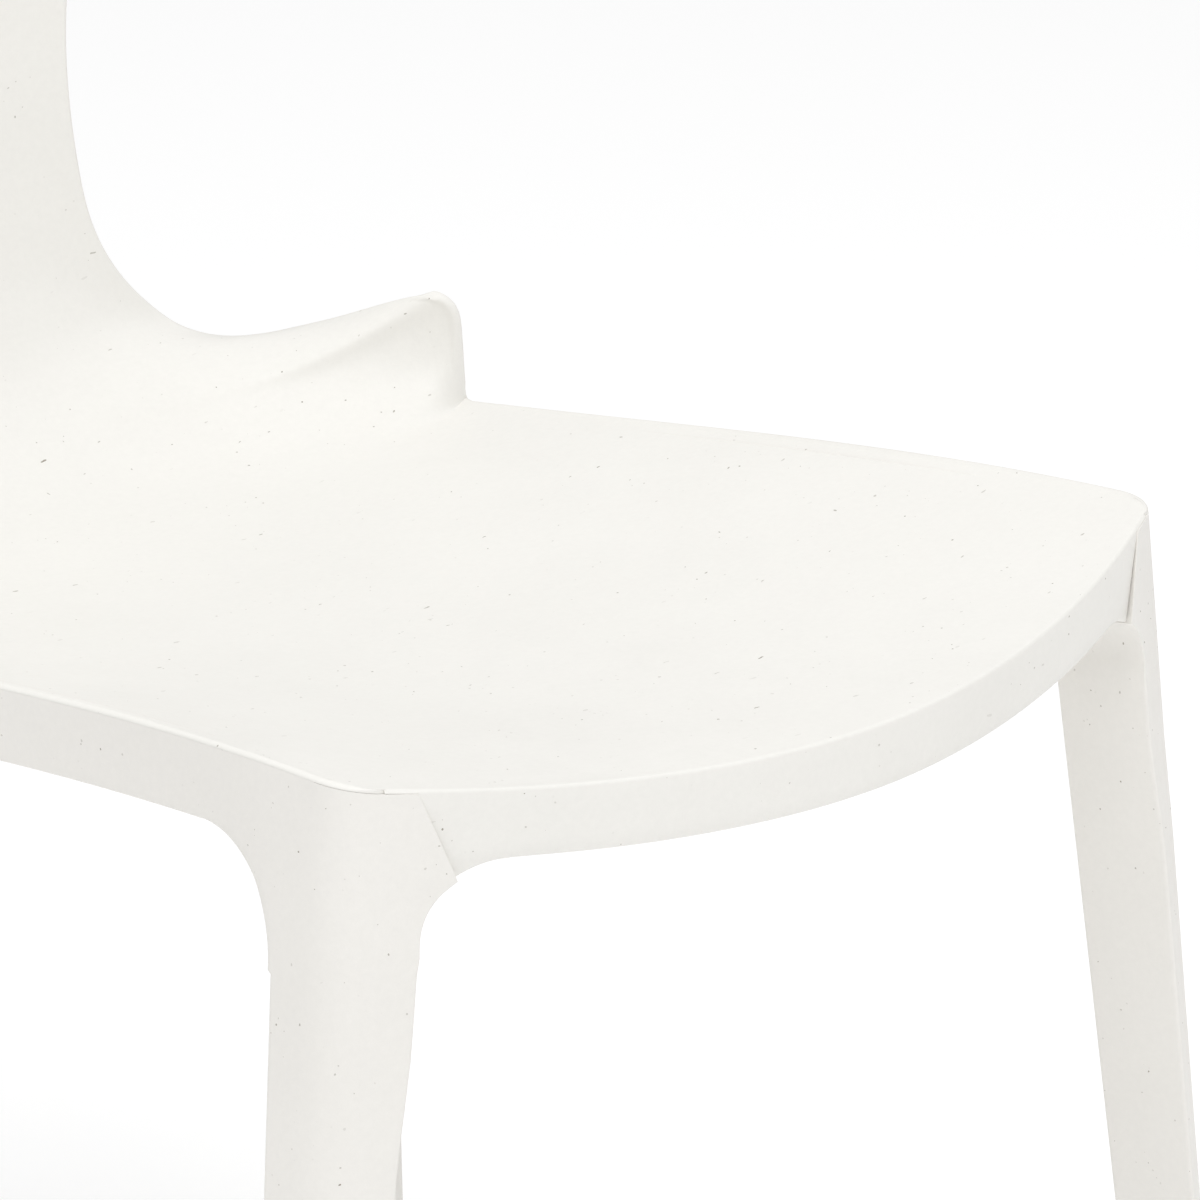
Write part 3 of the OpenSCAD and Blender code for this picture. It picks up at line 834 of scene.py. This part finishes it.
for name, y, z, node in (("wedge_front", FRONT_ARM_Y, FRONT_ARM_Z - ARM_DROP, "front_wedge"),
                         ("wedge_rear", REAR_ARM_Y, REAR_ARM_Z - ARM_DROP, "rear_wedge")):
    ob = build_wedge(name, y, z)
    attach(ob, "root")
    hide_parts(node)


# ---------------------------------------------------------------- materials
def plastic(name, base, mottle, speck, rough=0.46, grain=1.0, seed=0.0):
    """Moulded plastic filled with wood fibre: mottled, flecked, finely grained."""
    m = bpy.data.materials.new(name)
    m.use_nodes = True
    nt = m.node_tree
    bsdf = nt.nodes["Principled BSDF"]

    def node(kind, **values):
        n = nt.nodes.new(kind)
        for k, v in values.items():
            if k in n.inputs:
                n.inputs[k].default_value = v
            else:
                setattr(n, k.lower(), v)
        return n

    def link(a, b):
        nt.links.new(a, b)

    def math_node(op, a, b):
        n = nt.nodes.new("ShaderNodeMath")
        n.operation = op
        n.use_clamp = op == "MULTIPLY"
        for k, v in enumerate((a, b)):
            if hasattr(v, "default_value"):
                link(v, n.inputs[k])
            else:
                n.inputs[k].default_value = v
        return n.outputs[0]

    def ramp_node(fac, stops):
        n = nt.nodes.new("ShaderNodeValToRGB")
        while len(n.color_ramp.elements) < len(stops):
            n.color_ramp.elements.new(0.5)
        for e, (pos, c) in zip(n.color_ramp.elements, stops):
            e.position = pos
            e.color = (*c, 1) if hasattr(c, "__len__") else (c, c, c, 1)
        link(fac, n.inputs[0])
        return n.outputs[0]

    tex = node("ShaderNodeTexCoord")
    shift = node("ShaderNodeMapping", Location=(seed, seed * 0.7, -seed))
    link(tex.outputs["Object"], shift.inputs[0])
    at = shift.outputs[0]

    def noise(scale, detail, rough_=0.55, vec=None):
        n = node("ShaderNodeTexNoise", Scale=scale, Detail=detail, Roughness=rough_)
        link(vec or at, n.inputs["Vector"])
        return n.outputs["Fac"]

    # cloudy body colour
    cloud = ramp_node(noise(14, 3), [(0.3, mottle), (0.7, base)])
    fine = ramp_node(noise(420, 4, 0.7), [(0.25, 0.965), (0.75, 1.0)])
    mix = node("ShaderNodeMix")
    mix.data_type = "RGBA"
    mix.blend_type = "MULTIPLY"
    mix.inputs[0].default_value = 1
    link(cloud, mix.inputs[6])
    link(fine, mix.inputs[7])
    body = mix.outputs[2]

    # flecks: some cells of a fine pattern hold one small speck or short fibre
    def flecks(scale, share, radius, turn, stretch):
        mp = node("ShaderNodeMapping", Rotation=turn, Scale=stretch)
        wob = node("ShaderNodeTexNoise", Scale=scale * 1.6, Detail=1.0)
        link(at, wob.inputs["Vector"])
        add = node("ShaderNodeVectorMath")
        add.operation = "MULTIPLY_ADD"
        link(wob.outputs["Color"], add.inputs[0])
        add.inputs[1].default_value = (0.35 / scale,) * 3
        link(at, add.inputs[2])
        link(add.outputs[0], mp.inputs[0])
        v = node("ShaderNodeTexVoronoi", Scale=scale)
        link(mp.outputs[0], v.inputs["Vector"])
        s2 = node("ShaderNodeSeparateColor")
        link(v.outputs["Color"], s2.inputs[0])
        chosen = math_node("LESS_THAN", s2.outputs[0], share)
        size = math_node("MULTIPLY", s2.outputs[1], radius)
        near = math_node("LESS_THAN", v.outputs["Distance"], size)
        faint = math_node("MULTIPLY", s2.outputs[2], s2.outputs[2])
        strength = math_node("MULTIPLY", faint, chosen)
        return math_node("MULTIPLY", near, strength)

    spots = [flecks(330, 0.5, 0.13, (0, 0, 0), (1, 1, 1)),
             flecks(230, 0.45, 0.10, (0.3, 0.2, 0.9), (0.3, 1, 1)),
             flecks(230, 0.45, 0.10, (1.1, -0.4, -0.6), (0.28, 1, 1)),
             flecks(90, 0.5, 0.05, (0.5, 0.9, 0.1), (1, 0.6, 1))]
    total = spots[0]
    for sp in spots[1:]:
        total = math_node("MAXIMUM", total, sp)
    mix2 = node("ShaderNodeMix")
    mix2.data_type = "RGBA"
    link(total, mix2.inputs[0])
    link(body, mix2.inputs[6])
    mix2.inputs[7].default_value = (*speck, 1)
    link(mix2.outputs[2], bsdf.inputs["Base Color"])

    # satin with slightly duller patches
    r = nt.nodes.new("ShaderNodeMapRange")
    link(noise(60, 3), r.inputs[0])
    r.inputs[1].default_value, r.inputs[2].default_value = 0.3, 0.7
    r.inputs[3].default_value, r.inputs[4].default_value = rough - 0.05, rough + 0.06
    link(r.outputs[0], bsdf.inputs["Roughness"])
    bsdf.inputs["Specular IOR Level"].default_value = 0.42

    # moulding grain
    bump = node("ShaderNodeBump", Strength=0.10 * grain, Distance=0.0002)
    link(noise(1500, 2), bump.inputs["Height"])
    bump2 = node("ShaderNodeBump", Strength=0.12 * grain, Distance=0.0006)
    link(noise(120, 2), bump2.inputs["Height"])
    link(bump2.outputs[0], bump.inputs["Normal"])
    link(bump.outputs[0], bsdf.inputs["Normal"])
    return m


scene = bpy.context.scene
MATS = {
    "shell": plastic("shell_plastic", (0.87, 0.855, 0.815), (0.85, 0.835, 0.795), (0.30, 0.27, 0.22)),
    "frame": plastic("frame_plastic", (0.86, 0.84, 0.80), (0.84, 0.82, 0.78),
                     (0.30, 0.27, 0.22), seed=1.7),
    "wedge": plastic("wedge_plastic", (0.80, 0.785, 0.75), (0.77, 0.75, 0.715),
                     (0.35, 0.32, 0.28), rough=0.4, seed=3.1),
    "glide": plastic("glide_plastic", (0.50, 0.50, 0.48), (0.45, 0.45, 0.43),
                     (0.25, 0.25, 0.24), rough=0.55, grain=1.6, seed=4.6),
}
for ob in scene.objects:
    key = {"seat": "shell", "righ": "frame", "left": "frame",
           "wedg": "wedge", "glid": "glide"}.get(ob.name[:4])
    if ob.type == "MESH" and key and ob.data.users:
        ob.data.materials.clear()
        ob.data.materials.append(MATS[key])


# ---------------------------------------------------------------- camera
cam_data = bpy.data.cameras.new("camera")
cam_data.sensor_width = 36
cam_data.lens = 180
cam_data.clip_end = 60
cam = bpy.data.objects.new("camera", cam_data)
bpy.context.scene.collection.objects.link(cam)
az, el = -0.826, 0.323
back = Vector((math.sin(az) * math.cos(el), -math.cos(az) * math.cos(el), math.sin(el)))
aim = Vector((-10.23 * MM, (63.48 - Y_MID) * MM, (-1.58 + SEAT_H) * MM))
cam.location = aim + back * 1.8397
cam.rotation_euler = back.to_track_quat("Z", "Y").to_euler()
bpy.context.scene.camera = cam

# ---------------------------------------------------------------- light and floor
scene = bpy.context.scene
scene.view_settings.view_transform = "Standard"
scene.view_settings.look = "None"
world = bpy.data.worlds.new("studio")
scene.world = world
world.use_nodes = True
wn = world.node_tree
bg = wn.nodes["Background"]
tc = wn.nodes.new("ShaderNodeTexCoord")
sep = wn.nodes.new("ShaderNodeSeparateXYZ")
ramp = wn.nodes.new("ShaderNodeValToRGB")
ramp.color_ramp.elements[0].position = 0.0
ramp.color_ramp.elements[0].color = (0.38, 0.375, 0.37, 1)
ramp.color_ramp.elements[1].position = 0.75
ramp.color_ramp.elements[1].color = (1, 1, 1, 1)
wn.links.new(tc.outputs["Generated"], sep.inputs[0])
wn.links.new(sep.outputs["Z"], ramp.inputs[0])
wn.links.new(ramp.outputs[0], bg.inputs[0])
bg.inputs[1].default_value = 0.92


def area(name, at, aim_at, size, power, color=(1, 1, 1)):
    d = bpy.data.lights.new(name, "AREA")
    d.shape = "RECTANGLE"
    d.size, d.size_y = size
    d.energy = power
    d.color = color
    o = bpy.data.objects.new(name, d)
    bpy.context.scene.collection.objects.link(o)
    o.location = at
    o.rotation_euler = (Vector(at) - Vector(aim_at)).to_track_quat("Z", "Y").to_euler()
    return o


area("key", (-0.8, -1.2, 3.1), (0, 0, 0.4), (2.2, 2.2), 38, (0.97, 0.985, 1.0))

floor_me = bpy.data.meshes.new("floor")
floor_me.from_pydata([(-15, -15, 0), (15, -15, 0), (15, 15, 0), (-15, 15, 0)], [], [(0, 1, 2, 3)])
floor = bpy.data.objects.new("floor", floor_me)
scene.collection.objects.link(floor)
fm = bpy.data.materials.new("floor")
fm.use_nodes = True
fb = fm.node_tree.nodes["Principled BSDF"]
fb.inputs["Base Color"].default_value = (0.98, 0.98, 0.98, 1)
fb.inputs["Roughness"].default_value = 0.9
fb.inputs["Emission Color"].default_value = (1, 1, 1, 1)
fb.inputs["Emission Strength"].default_value = 0.1
fb.inputs["Specular IOR Level"].default_value = 0.1
floor_me.materials.append(fm)
